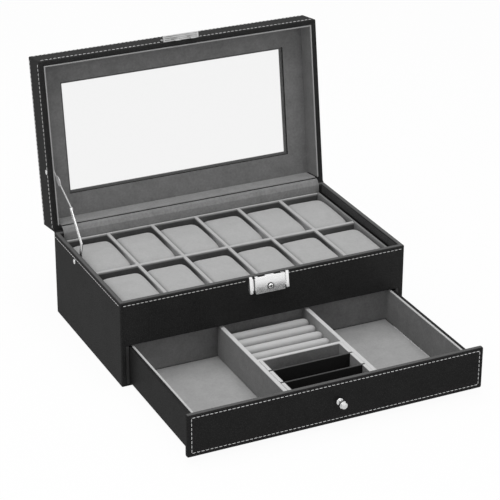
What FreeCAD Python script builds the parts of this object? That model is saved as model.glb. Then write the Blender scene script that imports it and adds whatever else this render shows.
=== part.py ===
"""Watch box with a glazed lid and a drawer, in millimetres.

X runs to the right, Y to the back and Z up; the origin is the middle of the base's underside.
The box stands as it is shown: lid open, drawer pulled out.
"""
import FreeCAD, Part
import os
import re
from types import SimpleNamespace

from FreeCAD import Placement, Rotation, Vector

doc = FreeCAD.newDocument("watch_box")
sheet = doc.addObject("Spreadsheet::Sheet", "dims")

SIZES = {
    # carcass
    "box_width": 320, "box_depth": 184, "rim_height": 94, "lid_height": 32, "board": 5.5,
    "bottom_thick": 3, "bay_top": 45, "deck_thick": 3, "bay_liner": 3,
    # watch tray
    "tray_top": 85, "tray_wall": 2.5, "stay_gap": 3, "divider": 3.5, "cell_columns": 6, "outer_trim": 2.25,
    "lap_play": 0.15,
    # pillows
    "pillow_play": 0.6, "pillow_gap": 2.25, "pillow_height": 36.5, "pillow_draw": 1.8, "pillow_lead": 0.6,
    # lid
    "lid_open": 98, "lid_gap": 0.4, "top_frame": 3.5, "window_width": 256, "window_depth": 118,
    "lining_reveal": 2, "lining_face": 1.5, "glass_thick": 1.8, "glass_lap": 7, "glass_play": 0.2,
    "liner": 1.5,
    # hinges and flap
    "hinge_offset": 100, "hinge_length": 30, "leaf_thick": 0.8, "leaf_depth": 5, "barrel_radius": 2,
    "pin_radius": 0.9, "pin_play": 0.05, "knuckle": 10, "hinge_play": 0.3, "flap_thick": 0.8, "flap_end": 1.5,
    "crease_up": 4,
    # lock and catch
    "lock_x": 1.8, "lock_width": 44, "lock_height": 17.5, "lock_plate_thick": 1.2, "cover_width": 33,
    "cover_stand": 3.5, "cover_flare": 2.6, "key_flare": 1.7, "cover_skin": 0.8, "key_radius": 3,
    "key_drop": 11.2, "key_stand": 0.6, "keyway_width": 0.75, "keyway_deep": 0.6, "cam_reach": 9.6,
    "cam_width": 2.4, "cam_thick": 0.8, "catch_x": 0.3, "catch_width": 40.6, "catch_stand": 6.5,
    "catch_thick": 2.5, "catch_height": 9, "catch_up": 0.8, "leg_spread": 9, "leg_width": 6, "leg_drop": 9,
    "leg_play": 0.8, "leg_thick": 1, "leg_bite": 3.5, "bite_up": 1.2, "bite_height": 6.3,
    # lid stay
    "stay_base_y": 31.4, "stay_base_drop": 7.7, "stay_lid_y": 27.2, "stay_lid_up": 5.4, "stay_elbow_y": 54.6,
    "stay_elbow_z": 134.3, "stay_kink_y": 27.4, "stay_kink_z": 106.8, "arm_width": 5, "arm_thick": 1,
    "arm_play": 0.2, "rivet_radius": 1.4, "rivet_head": 2.6, "rivet_proud": 0.9,
    # drawer
    "drawer_out": 156, "front_thick": 6, "front_low": 6.5, "front_high": 52, "drawer_play": 0.5,
    "drawer_wall": 6, "drawer_back": 4, "drawer_floor": 3, "drawer_high": 43.5, "drawer_length": 169,
    "front_liner": 1.5, "drawer_divider": 5, "divider_offset": 48.5, "divider_drop": 0.5,
    "cross_back": 87, "cross_thick": 4, "slot_pitch": 26, "slot_strip": 3.5, "slot_play": 0.3,
    "slot_board": 2, "slot_count": 2, "roll_count": 5, "roll_pitch": 15.8, "roll_width": 14.6,
    "roll_height": 29.5, "roll_foot": 6.57, "roll_crown": 0.73, "roll_play": 0.3,
    # knob
    "knob_radius": 4.6, "knob_stem": 2.3, "knob_flange": 4, "knob_out": 11.5, "knob_foot": 1.2,
    "knob_waist": 2.3, "knob_neck": 4.8, "knob_rim": 6.4, "knob_crown": 3.4, "knob_dome": 1.4,
    "screw_radius": 1.5, "screw_head": 3,
}
# Shares of a pillow's height, or of its half width and draw, that shape its loaf
loaf = {"foot": 0.06, "shoulder": 0.1, "level": 0.86, "belly": 0.5, "flank": 0.7, "flank_draw": 0.25}

for row, (name, value) in enumerate(SIZES.items(), 1):
    sheet.set(f"A{row}", name)
    sheet.set(f"B{row}", str(value))
    sheet.setAlias(f"B{row}", name)
doc.recompute()
s = SimpleNamespace(**{name: float(sheet.get(name)) for name in SIZES})

# Levels and faces that several pieces share
inner_x = s.box_width / 2 - s.board
inner_y = s.box_depth / 2 - s.board
deck_top = s.bay_top + s.deck_thick
tray_x = inner_x - s.stay_gap
cell_x = tray_x - s.tray_wall
cell_y = inner_y - s.tray_wall
cell_pitch = (2 * cell_x + s.divider + 2 * s.outer_trim) / s.cell_columns
pillow_width = cell_pitch - s.divider - s.outer_trim - s.pillow_play
pillow_depth = cell_y - s.divider / 2 - s.pillow_gap
back_y = s.box_depth / 2
front_y = -s.box_depth / 2
wall_low = s.rim_height + s.lid_gap
frame_low = s.rim_height + s.lid_height - s.top_frame
lining_low = frame_low - s.glass_thick - s.lining_face
stay_base_z = s.rim_height - s.stay_base_drop
stay_lid_z = s.rim_height + s.stay_lid_up
parts = {}

hinge_line = Vector(0, back_y, s.rim_height)
lid_pose = Placement(Vector(0, 0, 0), Rotation(Vector(1, 0, 0), -s.lid_open), hinge_line)
drawer_pose = Placement(Vector(0, -s.drawer_out, 0), Rotation())
still = Placement()


def bound(words):
    """The same formula with every size read from the sheet."""
    return re.sub(r"[A-Za-z_]+", lambda found: "dims." + found.group(0), words)


def box(size, corner, pose=still):
    """A board: three size formulas and its low corner in the closed box, carried by a pose."""
    made = doc.addObject("Part::Box", "board")
    for side, words in zip(("Length", "Width", "Height"), size):
        made.setExpression(side, bound(words))
    made.Placement = pose.multiply(Placement(Vector(*corner), Rotation()))
    return made


def rod(radius, length, start, direction, pose=still):
    """A round bar from a start point along a direction, its radius and length as formulas."""
    made = doc.addObject("Part::Cylinder", "rod")
    made.setExpression("Radius", bound(radius))
    made.setExpression("Height", bound(length))
    turn = Rotation(Vector(0, 0, 1), Vector(*direction))
    made.Placement = pose.multiply(Placement(Vector(*start), turn))
    return made


def cut(base, *tools):
    for tool in tools:
        made = doc.addObject("Part::Cut", "cut")
        made.Base = base
        made.Tool = tool
        base = made
    return base


def fuse(*pieces):
    made = doc.addObject("Part::MultiFuse", "joined")
    made.Shapes = list(pieces)
    return made


def group(*pieces):
    """Separate solids that share one node."""
    made = doc.addObject("Part::Compound", "set")
    made.Links = list(pieces)
    return made


def solid(shape, pose=still):
    made = doc.addObject("Part::Feature", "form")
    made.Shape = shape
    made.Placement = pose
    return made


def node(label, made):
    made.Label = label
    parts[label] = made


def outline(points, arcs=()):
    """A closed wire through points; arcs maps an edge's number to a point that the edge bends through."""
    edges = []
    for number, start in enumerate(points):
        end = points[(number + 1) % len(points)]
        if number in arcs:
            edges.append(Part.Arc(start, arcs[number], end).toShape())
        else:
            edges.append(Part.LineSegment(start, end).toShape())
    return Part.Wire(edges)


def carcass():
    """Bottom, sides, back, the upper front panel, the deck over the drawer bay and the bay's liners."""
    side = ("board", "box_depth", "rim_height - bottom_thick")
    notch = ("board", "board", "rim_height - bay_top")
    node("bottom_board", box(("box_width", "box_depth", "bottom_thick"), (-s.box_width / 2, front_y, 0)))
    rivet_hole = rod("rivet_radius", "board", (-s.box_width / 2, s.stay_base_y, stay_base_z), (1, 0, 0))
    sides = (("left_side_panel", -s.box_width / 2, [rivet_hole]), ("right_side_panel", inner_x, []))
    for label, x, holes in sides:
        panel = box(side, (x, front_y, s.bottom_thick))
        node(label, cut(panel, box(notch, (x, front_y, s.bay_top)), *holes))
    back = box(("box_width - 2 * board", "board", "rim_height - bottom_thick"),
               (-inner_x, inner_y, s.bottom_thick))
    node("back_panel", cut(back, *hinge_seats(s.rim_height - s.leaf_thick, still)))
    front = ("box_width", "board", "rim_height - bay_top")
    node("upper_front_panel", box(front, (-s.box_width / 2, front_y, s.bay_top)))
    node("deck_board", box(("box_width - 2 * board", "box_depth - 2 * board", "deck_thick"),
                           (-inner_x, -inner_y, s.bay_top)))
    liner = ("bay_liner", "box_depth - board", "bay_top - bottom_thick")
    liner_xs = (-inner_x, inner_x - s.bay_liner)
    node("bay_liners", group(*[box(liner, (x, front_y, s.bottom_thick)) for x in liner_xs]))


def watch_tray():
    """Tray walls, and the dividers lapped into each other like an egg crate."""
    high = "tray_top - bay_top - deck_thick"
    ends = ("tray_wall", "box_depth - 2 * board", high)
    longs = ("box_width - 2 * board - 2 * stay_gap - 2 * tray_wall", "tray_wall", high)
    node("tray_end_walls", group(*[box(ends, (x, -inner_y, deck_top)) for x in (-tray_x, cell_x)]))
    node("tray_long_walls", group(*[box(longs, (-cell_x, y, deck_top)) for y in (-inner_y, cell_y)]))
    middle = (deck_top + s.tray_top) / 2
    half = "(tray_top - bay_top - deck_thick) / 2"
    lap = ("divider + 2 * lap_play", "divider + 2 * lap_play")
    lap_low = -s.divider / 2 - s.lap_play
    columns = [cell_pitch * (step - s.cell_columns / 2) for step in range(1, int(s.cell_columns))]
    long_board = box((longs[0], "divider", high), (-cell_x, -s.divider / 2, deck_top))
    laps = [box((*lap, half), (x + lap_low, lap_low, middle)) for x in columns]
    node("long_divider", cut(long_board, *laps))
    cross = ("divider", "box_depth - 2 * board - 2 * tray_wall", high)
    crosses = []
    for x in columns:
        board = box(cross, (x - s.divider / 2, -cell_y, deck_top))
        crosses.append(cut(board, box((*lap, half), (x + lap_low, lap_low, deck_top))))
    node("cross_dividers", group(*crosses))


def pillow_section(x, draw):
    """Side view of a pillow at x: flat under, bulging ends and a crown, drawn in by draw all round."""
    high = s.pillow_height - draw
    reach = pillow_depth / 2 - draw
    foot = reach - high * loaf["foot"]
    shoulder = reach - high * loaf["shoulder"]
    level = high * loaf["level"]
    belly = level * loaf["belly"]
    corners = ((-foot, 0), (foot, 0), (shoulder, level), (-shoulder, level))
    points = [Vector(x, y, z) for y, z in corners]
    return outline(points, {1: Vector(x, reach, belly), 2: Vector(x, 0, high), 3: Vector(x, -reach, belly)})


def pillows():
    """One loaf-shaped pillow in each cell, crowned along its length, with drawn-in flanks."""
    half = pillow_width / 2
    flank, flank_draw = half * loaf["flank"], s.pillow_draw * loaf["flank_draw"]
    stations = ((-half, s.pillow_draw), (-flank, flank_draw), (0, 0), (flank, flank_draw),
                (half, s.pillow_draw))
    form = Part.makeLoft([pillow_section(x, draw) for x, draw in stations], True, True)
    lead = s.pillow_lead + pillow_depth / 2
    faces = [cell_pitch * (step - s.cell_columns / 2) for step in range(int(s.cell_columns) + 1)]
    faces[0], faces[-1] = -cell_x - s.divider / 2, cell_x + s.divider / 2
    number = 0
    for y in (-cell_y + lead, s.divider / 2 + lead):
        for x in [(left + right) / 2 for left, right in zip(faces, faces[1:])]:
            number += 1
            node(f"pillow_{number}", solid(form, Placement(Vector(x, y, deck_top), Rotation())))


def hinge_seats(leaf_low, pose):
    """What a back wall loses for its two hinges: a bed for the leaf and a round bed for the barrel."""
    seats = []
    for x in (-s.hinge_offset, s.hinge_offset):
        start = x - s.hinge_length / 2
        bed = ("hinge_length", "leaf_depth", "leaf_thick")
        seats.append(box(bed, (start, back_y - s.leaf_depth, leaf_low), pose))
        barrel = (start - s.hinge_play, back_y, s.rim_height)
        long = "hinge_length + 2 * hinge_play"
        seats.append(rod("barrel_radius + hinge_play", long, barrel, (1, 0, 0), pose))
    return seats


def hinge_leaf(x, leaf_low, knuckles, bore, pose):
    """A leaf with its knuckles, each given by its start from the hinge's end and its length formula."""
    start = x - s.hinge_length / 2
    reach = s.barrel_radius + s.hinge_play
    body = ("hinge_length", "leaf_depth - barrel_radius - hinge_play", "leaf_thick")
    pieces = [box(body, (start, back_y - s.leaf_depth, leaf_low), pose)]
    for offset, length in knuckles:
        pieces.append(box((length, "barrel_radius + hinge_play", "leaf_thick"),
                          (start + offset, back_y - reach, leaf_low), pose))
        pieces.append(rod("barrel_radius", length, (start + offset, back_y, s.rim_height), (1, 0, 0), pose))
    hole = rod(bore, "hinge_length", (start, back_y, s.rim_height), (1, 0, 0), pose)
    return cut(fuse(*pieces), hole)


def hinges():
    """Two butt hinges let into the rims: base leaves with two knuckles, lid leaves with one, and pins."""
    centres = (-s.hinge_offset, s.hinge_offset)
    outer = [(0, "knuckle"), (s.hinge_length - s.knuckle, "knuckle")]
    inner = [(s.knuckle + s.hinge_play, "hinge_length - 2 * knuckle - 2 * hinge_play")]
    base_low = s.rim_height - s.leaf_thick
    node("hinge_base_leaves", group(*[hinge_leaf(x, base_low, outer, "pin_radius", still) for x in centres]))
    lid_low = s.rim_height + s.lid_gap / 2
    lid_leaves = [hinge_leaf(x, lid_low, inner, "pin_radius + pin_play", lid_pose) for x in centres]
    node("hinge_lid_leaves", group(*lid_leaves))
    starts = [(x - s.hinge_length / 2, back_y, s.rim_height) for x in centres]
    node("hinge_pins", group(*[rod("pin_radius", "hinge_length", start, (1, 0, 0)) for start in starts]))


def hinge_flap():
    """Velvet strip from the base's back wall, over the hinges, up the lid's back wall."""
    def lid_point(y, z):
        return lid_pose.multVec(Vector(0, y, z))
    gauge = s.flap_thick
    low = Vector(0, inner_y, s.tray_top + s.lid_gap)
    bend = Vector(0, inner_y, s.rim_height)
    turn = lid_point(inner_y - s.lid_gap, s.rim_height)
    top = lid_point(inner_y, lining_low - s.lid_gap)
    crease_z = s.rim_height + s.crease_up
    crease = lid_point(inner_y, crease_z)
    front = [low - Vector(0, gauge, 0), bend - Vector(0, gauge, 0), turn + Vector(0, -gauge, gauge),
             lid_point(inner_y - gauge, crease_z), lid_point(inner_y - gauge, lining_low - s.lid_gap)]
    profile = outline([low, bend, turn, crease, top] + front[::-1])
    length = 2 * (tray_x - s.flap_end)
    strip = Part.Face(profile).extrude(Vector(length, 0, 0))
    node("hinge_flap", solid(strip, Placement(Vector(-length / 2, 0, 0), Rotation())))


def lid():
    """Four walls, the top frame, the glass in the lining frame's rebate and the wall liners."""
    high = "lid_height - lid_gap - top_frame"
    long_wall = ("box_width", "board", high)
    end_wall = ("board", "box_depth - 2 * board", high)
    node("lid_front_wall", box(long_wall, (-s.box_width / 2, front_y, wall_low), lid_pose))
    back = box(long_wall, (-s.box_width / 2, inner_y, wall_low), lid_pose)
    node("lid_back_wall", cut(back, *hinge_seats(s.rim_height + s.lid_gap / 2, lid_pose)))
    left = box(end_wall, (-s.box_width / 2, -inner_y, wall_low), lid_pose)
    hole_start = (-s.box_width / 2, s.stay_lid_y, stay_lid_z)
    node("lid_left_wall", cut(left, rod("rivet_radius", "board", hole_start, (1, 0, 0), lid_pose)))
    node("lid_right_wall", box(end_wall, (inner_x, -inner_y, wall_low), lid_pose))

    top = box(("box_width", "box_depth", "top_frame"), (-s.box_width / 2, front_y, frame_low), lid_pose)
    window = box(("window_width", "window_depth", "top_frame"),
                 (-s.window_width / 2, -s.window_depth / 2, frame_low), lid_pose)
    node("lid_top_frame", cut(top, window))

    glass_x = s.window_width / 2 + s.glass_lap
    glass_y = s.window_depth / 2 + s.glass_lap
    pane = ("window_width + 2 * glass_lap", "window_depth + 2 * glass_lap", "glass_thick")
    glass_low = frame_low - s.glass_thick
    node("glass_pane", box(pane, (-glass_x, -glass_y, glass_low), lid_pose))

    lining = box(("box_width - 2 * board", "box_depth - 2 * board", "lining_face + glass_thick"),
                 (-inner_x, -inner_y, lining_low), lid_pose)
    reveal_x = s.window_width / 2 + s.lining_reveal
    reveal_y = s.window_depth / 2 + s.lining_reveal
    shown = ("window_width + 2 * lining_reveal", "window_depth + 2 * lining_reveal",
             "lining_face + glass_thick")
    opening = box(shown, (-reveal_x, -reveal_y, lining_low), lid_pose)
    rebate = box((pane[0] + " + 2 * glass_play", pane[1] + " + 2 * glass_play", "glass_thick"),
                 (-glass_x - s.glass_play, -glass_y - s.glass_play, glass_low), lid_pose)
    node("lid_lining_frame", cut(lining, opening, rebate))

    liner_low = wall_low + s.lid_gap
    tall = "lid_height - 2 * lid_gap - top_frame - glass_thick - lining_face"
    end_liner = ("liner", "box_depth - 2 * board - liner - flap_thick", tall)
    left_liner = box(end_liner, (-inner_x, -inner_y + s.liner, liner_low), lid_pose)
    hole_start = (-inner_x, s.stay_lid_y, stay_lid_z)
    left_liner = cut(left_liner, rod("rivet_radius", "liner", hole_start, (1, 0, 0), lid_pose))
    right_liner = box(end_liner, (inner_x - s.liner, -inner_y + s.liner, liner_low), lid_pose)
    front_liner = box(("box_width - 2 * board", "liner", tall), (-inner_x, -inner_y, liner_low), lid_pose)
    node("lid_wall_liners", group(left_liner, right_liner, front_liner))


def lock():
    """Lock plate and hollow cover, key cylinder with its cam, and the lid's catch with two legs."""
    plate_y = front_y - s.lock_plate_thick
    cover_y = plate_y - s.cover_stand
    low = s.rim_height - s.lock_height
    left = s.lock_x - s.cover_width / 2
    plate = ("lock_width", "lock_plate_thick", "lock_height")
    node("lock_plate", box(plate, (s.lock_x - s.lock_width / 2, plate_y, low)))

    def wedge(skin, width):
        """The cover's form, its face leaning back towards the top, drawn in by a skin all round."""
        foot = Vector(0, cover_y - s.cover_flare + skin, low + skin)
        head = Vector(0, cover_y + skin, s.rim_height - skin)
        side = outline([Vector(0, plate_y, foot.z), foot, head, Vector(0, plate_y, head.z)])
        form = Part.Face(side).extrude(Vector(width, 0, 0))
        return solid(form, Placement(Vector(left + skin, 0, 0), Rotation()))

    key_z = s.rim_height - s.key_drop
    key_face = cover_y - s.key_flare
    key_hole = rod("key_radius + pin_play", "cover_skin + 2 * key_flare",
                   (s.lock_x, key_face - s.key_flare, key_z), (0, 1, 0))
    leg_y = plate_y - s.leg_play - s.leg_thick
    leg_xs = (s.lock_x - s.leg_spread, s.lock_x + s.leg_spread)
    slots = []
    for x in leg_xs:
        corner = (x - s.leg_width / 2 - s.leg_play, leg_y - s.leg_play, s.rim_height - s.cover_skin)
        slots.append(box(("leg_width + 2 * leg_play", "leg_thick + 2 * leg_play", "cover_skin"), corner))
    inside = wedge(s.cover_skin, s.cover_width - 2 * s.cover_skin)
    node("lock_cover", cut(wedge(0, s.cover_width), inside, key_hole, *slots))

    cylinder_start = (s.lock_x, key_face - s.key_stand, key_z)
    cylinder = rod("key_radius", "cover_skin + 2 * key_stand", cylinder_start, (0, 1, 0))
    keyway = box(("keyway_width", "keyway_deep", "key_radius"),
                 (s.lock_x - s.keyway_width / 2, key_face - s.key_stand, key_z - s.key_radius / 2))
    node("key_cylinder", cut(cylinder, keyway))
    cam_front = key_face + s.cover_skin + s.key_stand
    hub_length = "cover_stand + key_flare - cover_skin - key_stand - leg_play"
    hub = rod("cam_width", hub_length, (s.lock_x, cam_front, key_z), (0, 1, 0))
    arm_y = leg_y + (s.leg_thick - s.cam_thick) / 2
    arm = box(("cam_width", "cam_thick", "cam_reach"), (s.lock_x - s.cam_width / 2, arm_y, key_z))
    node("lock_cam", fuse(hub, arm))

    catch_low = s.rim_height + s.catch_up
    catch_left = s.catch_x - s.catch_width / 2
    flange = box(("catch_width", "catch_stand", "catch_thick"),
                 (catch_left, front_y - s.catch_stand, catch_low), lid_pose)
    back = box(("catch_width", "lock_plate_thick", "catch_height"),
               (catch_left, plate_y, catch_low), lid_pose)
    pieces = [flange, back]
    for x in leg_xs:
        leg = box(("leg_width", "leg_thick", "leg_drop + 2 * catch_up"),
                  (x - s.leg_width / 2, leg_y, s.rim_height - s.leg_drop), lid_pose)
        if x == leg_xs[1]:
            bite = (x - s.leg_width / 2, leg_y, s.rim_height - s.leg_drop + s.bite_up)
            leg = cut(leg, box(("leg_bite", "leg_thick", "bite_height"), bite, lid_pose))
        pieces.append(leg)
    node("lid_catch", fuse(*pieces))


def arm(points, hole_radii, layer_x):
    """A flat stay arm through points in its plane, round at its ends and bends, with an eye at each end."""
    half = s.arm_width / 2
    along = Vector(s.arm_thick, 0, 0)
    shape = None
    for start, end in zip(points, points[1:]):
        run = end - start
        side = Vector(0, -run.z, run.y).normalize() * half
        bar = Part.Face(outline([start + side, end + side, end - side, start - side])).extrude(along)
        shape = bar if shape is None else shape.fuse(bar)
    for point in points:
        shape = shape.fuse(Part.makeCylinder(half, s.arm_thick, point, Vector(1, 0, 0)))
    for point, radius in zip((points[0], points[-1]), hole_radii):
        if radius:
            shape = shape.cut(Part.makeCylinder(radius, s.arm_thick, point, Vector(1, 0, 0)))
    return solid(shape.removeSplitter(), Placement(Vector(layer_x, 0, 0), Rotation()))


def stay():
    """Folding lid stay beside the tray: two riveted arms, the upper one ending beside the lid's rivet."""
    lower_x = -inner_x + (s.stay_gap - 2 * s.arm_thick - s.arm_play) / 2
    upper_x = lower_x + s.arm_thick + s.arm_play
    base = Vector(0, s.stay_base_y, stay_base_z)
    elbow = Vector(0, s.stay_elbow_y, s.stay_elbow_z)
    kink = Vector(0, s.stay_kink_y, s.stay_kink_z)
    lid_end = lid_pose.multVec(Vector(0, s.stay_lid_y, stay_lid_z))
    eye = s.rivet_radius + s.pin_play
    node("stay_lower_arm", arm([base, kink, elbow], (eye, s.rivet_radius), lower_x))
    node("stay_upper_arm", arm([elbow, lid_end], (eye, 0), upper_x))
    elbow_start = (lower_x, elbow.y, elbow.z)
    node("stay_elbow_rivet", rod("rivet_radius", "2 * arm_thick + arm_play", elbow_start, (1, 0, 0)))

    head_x = -s.box_width / 2 - s.rivet_proud
    head = rod("rivet_head", "rivet_proud", (head_x, base.y, base.z), (1, 0, 0))
    shank_length = "rivet_proud + board + (stay_gap - arm_play) / 2"
    shank = rod("rivet_radius", shank_length, (head_x, base.y, base.z), (1, 0, 0))
    node("stay_base_rivet", fuse(head, shank))
    lid_start = (head_x, s.stay_lid_y, stay_lid_z)
    lid_head = rod("rivet_head", "rivet_proud", lid_start, (1, 0, 0), lid_pose)
    lid_shank = rod("rivet_radius", "rivet_proud + board + liner", lid_start, (1, 0, 0), lid_pose)
    node("stay_lid_rivet", fuse(lid_head, lid_shank))


def drawer():
    """Drawer box with its overlay front, dividers, ring rolls and the boards in their notched strips."""
    outer_x = inner_x - s.bay_liner - s.drawer_play
    wall_x = outer_x - s.drawer_wall
    low = s.bottom_thick + s.drawer_play
    floor_top = low + s.drawer_floor
    end_y = front_y + s.drawer_length
    inside = "box_width - 2 * (board + bay_liner + drawer_play + drawer_wall)"
    tall = "drawer_high - bottom_thick - drawer_play"
    above = tall + " - drawer_floor"
    front_box = ("box_width", "front_thick", "front_high - front_low")
    front = box(front_box, (-s.box_width / 2, front_y - s.front_thick, s.front_low), drawer_pose)
    knob_z = (s.front_low + s.front_high) / 2
    bore = rod("screw_radius", "front_thick", (0, front_y - s.front_thick, knob_z), (0, 1, 0), drawer_pose)
    node("drawer_front", cut(front, bore))
    side = ("drawer_wall", "drawer_length", tall)
    node("drawer_left_side", box(side, (-outer_x, front_y, low), drawer_pose))
    node("drawer_right_side", box(side, (wall_x, front_y, low), drawer_pose))
    back_start = (-wall_x, end_y - s.drawer_back, low)
    node("drawer_back", box((inside, "drawer_back", tall), back_start, drawer_pose))
    floor = (inside, "drawer_length - drawer_back", "drawer_floor")
    node("drawer_floor", box(floor, (-wall_x, front_y, low), drawer_pose))
    liner = box((inside, "front_liner", above), (-wall_x, front_y, floor_top), drawer_pose)
    head_room = rod("screw_head + drawer_play", "front_liner", (0, front_y, knob_z), (0, 1, 0), drawer_pose)
    node("drawer_front_liner", cut(liner, head_room))

    divider_top = above + " - divider_drop"
    lengthwise = ("drawer_divider", "drawer_length - drawer_back - front_liner", divider_top)
    start_y = front_y + s.front_liner
    for label, x in (("drawer_left_divider", -s.divider_offset), ("drawer_right_divider", s.divider_offset)):
        node(label, box(lengthwise, (x - s.drawer_divider / 2, start_y, floor_top), drawer_pose))
    middle = "2 * divider_offset - drawer_divider"
    middle_x = s.divider_offset - s.drawer_divider / 2
    cross_y = front_y - s.front_thick + s.cross_back
    cross_start = (-middle_x, cross_y - s.cross_thick, floor_top)
    node("ring_cross_divider", box((middle, "cross_thick", divider_top), cross_start, drawer_pose))

    slot_ys = [cross_y - s.slot_pitch * step for step in range(1, int(s.slot_count) + 1)]
    strip_length = "cross_back - front_thick - cross_thick - front_liner"
    strips = []
    for x in (-middle_x, middle_x - s.slot_strip):
        strip = box(("slot_strip", strip_length, divider_top), (x, start_y, floor_top), drawer_pose)
        notch = ("slot_strip", "slot_board + 2 * slot_play", divider_top)
        starts = [(x, y - s.slot_board / 2 - s.slot_play, floor_top + s.slot_play) for y in slot_ys]
        strips.append(cut(strip, *[box(notch, start, drawer_pose) for start in starts]))
    node("slot_strips", group(*strips))
    board = (middle + " - 2 * slot_play", "slot_board", divider_top + " - 2 * slot_play")
    starts = [(-middle_x + s.slot_play, y - s.slot_board / 2, floor_top + s.slot_play) for y in slot_ys]
    node("ring_slot_dividers", group(*[box(board, start, drawer_pose) for start in starts]))
    ring_rolls(cross_y, middle_x - s.roll_play, floor_top)
    knob(knob_z)


def ring_rolls(cross_y, half_length, floor_top):
    """Foam rolls side by side behind the cross divider: upright flanks, narrow feet and round crowns."""
    half = s.roll_width / 2
    rolls = []
    for number in range(int(s.roll_count)):
        y = cross_y + s.roll_pitch * number + s.roll_pitch / 2
        points = [Vector(0, -s.roll_foot, 0), Vector(0, s.roll_foot, 0),
                  Vector(0, half, s.roll_height - half), Vector(0, -half, s.roll_height - half)]
        bend = {2: Vector(0, 0, s.roll_height - s.roll_crown)}
        form = Part.Face(outline(points, bend)).extrude(Vector(2 * half_length, 0, 0))
        place = Placement(Vector(-half_length, y, floor_top), Rotation())
        rolls.append(solid(form, drawer_pose.multiply(place)))
    node("ring_rolls", group(*rolls))


def knob(knob_z):
    """Turned knob with a flange, a waist and a domed head, and the screw that holds it from inside."""
    body = doc.addObject("PartDesign::Body", "knob_body")
    sketch = body.newObject("Sketcher::SketchObject", "knob_profile")
    plane = [feature for feature in body.Origin.OriginFeatures if feature.Role == "XY_Plane"][0]
    sketch.AttachmentSupport = [(plane, "")]
    sketch.MapMode = "FlatFace"
    bore, deep = s.screw_radius, s.knob_out / 2
    points = [(bore, 0), (s.knob_flange, 0), (s.knob_flange, s.knob_foot), (s.knob_stem, s.knob_waist),
              (s.knob_stem, s.knob_neck), (s.knob_radius, s.knob_rim),
              (s.knob_crown, s.knob_out - s.knob_dome), (0, s.knob_out), (0, deep), (bore, deep)]
    corners = [Vector(x, y, 0) for x, y in points]
    for start, end in zip(corners, corners[1:] + corners[:1]):
        sketch.addGeometry(Part.LineSegment(start, end), False)
    turned = body.newObject("PartDesign::Revolution", "knob_turned")
    turned.Profile = sketch
    turned.ReferenceAxis = (sketch, ["V_Axis"])
    turned.Angle = 360
    body.Tip = turned
    turn = Rotation(Vector(0, 1, 0), Vector(0, -1, 0))
    body.Placement = drawer_pose.multiply(Placement(Vector(0, front_y - s.front_thick, knob_z), turn))
    node("knob", body)
    shank = rod("screw_radius", "front_thick + knob_out / 2", (0, front_y, knob_z), (0, -1, 0), drawer_pose)
    head = rod("screw_head", "front_liner", (0, front_y, knob_z), (0, 1, 0), drawer_pose)
    node("knob_screw", fuse(shank, head))


for make in (carcass, watch_tray, pillows, hinges, hinge_flap, lid, lock, stay, drawer):
    make()
doc.recompute()

for made in doc.Objects:
    if "Invalid" in made.State or "Error" in made.State:
        raise RuntimeError(f"{made.Label} failed: {made.State}")
for label, made in parts.items():
    if made.Shape.isNull() or not made.Shape.isValid() or not made.Shape.Solids:
        raise RuntimeError(f"{label} has no valid solid")
os.makedirs("parts", exist_ok=True)
for label, made in parts.items():
    made.Shape.exportStep(f"parts/{label}.step")
print(len(parts), "sub-parts")
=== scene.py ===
import math

import bmesh
import bpy
import numpy as np
from mathutils import Matrix, Vector


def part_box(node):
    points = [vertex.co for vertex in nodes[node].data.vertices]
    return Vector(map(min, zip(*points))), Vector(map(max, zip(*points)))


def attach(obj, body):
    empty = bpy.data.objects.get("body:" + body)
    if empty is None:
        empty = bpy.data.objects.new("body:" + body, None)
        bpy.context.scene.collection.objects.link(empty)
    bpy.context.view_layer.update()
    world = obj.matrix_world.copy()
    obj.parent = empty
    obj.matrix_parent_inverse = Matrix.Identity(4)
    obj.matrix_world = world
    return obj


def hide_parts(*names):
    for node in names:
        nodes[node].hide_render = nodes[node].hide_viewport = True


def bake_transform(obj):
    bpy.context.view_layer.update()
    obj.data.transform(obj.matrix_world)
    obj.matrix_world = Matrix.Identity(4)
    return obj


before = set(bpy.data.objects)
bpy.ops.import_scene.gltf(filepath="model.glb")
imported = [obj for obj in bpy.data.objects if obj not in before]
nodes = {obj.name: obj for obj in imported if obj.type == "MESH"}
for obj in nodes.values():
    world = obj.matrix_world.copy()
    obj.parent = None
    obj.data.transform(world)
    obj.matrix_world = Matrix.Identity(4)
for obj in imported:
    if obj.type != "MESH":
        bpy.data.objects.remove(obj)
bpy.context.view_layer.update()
scene = bpy.context.scene
scene.view_settings.view_transform = "Standard"
mm = 0.001
up = (0, 0, 1)
print("frame loaded:", len(nodes), "nodes")

# Levels of the case that several pieces share, in mm, lid shut and drawer in
case = {"halfX": 160, "halfY": 92, "rim": 94, "board": 5.5, "bottom": 3, "bayTop": 45, "deckTop": 48,
        "trayTop": 85, "lidLow": 94.4, "frameLow": 122.5, "lidTop": 126, "lidOpen": 98, "drawerOut": 156}
innerX = case["halfX"] - case["board"]
innerY = case["halfY"] - case["board"]


# Meshes

def lidAtRest(verts):
    # turns closed-lid points about the hinge line: (y, z) rotated by -lidOpen about X
    a = math.radians(-case["lidOpen"])
    hinge = np.array([0, case["halfY"], case["rim"]])
    p = verts - hinge
    turned = np.stack([p[:, 0], p[:, 1] * math.cos(a) - p[:, 2] * math.sin(a),
                       p[:, 1] * math.sin(a) + p[:, 2] * math.cos(a)], -1)
    return turned + hinge


def drawerAtRest(verts):
    # pulls pushed-in points out along -Y
    return verts - np.array([0, case["drawerOut"], 0])


def asIs(verts):
    return verts


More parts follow.
